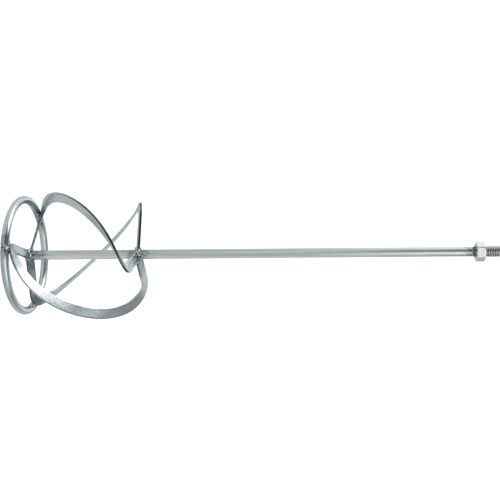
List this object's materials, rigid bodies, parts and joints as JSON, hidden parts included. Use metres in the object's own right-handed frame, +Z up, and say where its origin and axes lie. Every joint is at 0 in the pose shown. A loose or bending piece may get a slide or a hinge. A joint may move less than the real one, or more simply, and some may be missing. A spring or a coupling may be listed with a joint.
{
  "type": "mortar mixing paddle",
  "caption": "Welded steel mixing paddle for mortar: flat-bar blades wind in a helix from a round ring up a plain shaft with a nut and a male thread.",
  "frame": {"origin": "on the shaft's axis at the ring's lowest point, so the paddle stands upright on its ring", "axes": "+Z up the shaft from the ring to the drive thread; -Y is the side with the ring's joint; right-handed helix about +Z"},
  "size_m": [0.1611, 0.1596, 0.6],
  "materials": {
    "zinc_shaft": "bright zinc-plated drawn bar",
    "zinc_ring": "bright zinc-plated round rod",
    "zinc_blade": "satin zinc-plated rolled flat bar",
    "zinc_nut": "matt zinc-plated forged nut",
    "dark_thread": "dark oiled rolled thread",
    "weld": "zinc-plated weld bead"
  },
  "bodies": {
    "root": {"blade_1": "zinc_blade", "blade_2": "zinc_blade", "blade_3": "zinc_blade", "hex_nut": "zinc_nut", "lower_hub_weld_1": "weld", "lower_hub_weld_2": "weld", "lower_hub_weld_3": "weld", "nut_weld": "weld", "ring": "zinc_ring", "ring_butt_weld": "weld", "ring_weld_1": "weld", "ring_weld_2": "weld", "ring_weld_3": "weld", "shaft": "zinc_shaft", "threaded_stud": "dark_thread", "upper_hub_weld_1": "weld", "upper_hub_weld_2": "weld", "upper_hub_weld_3": "weld"}
  },
  "joints": []
}
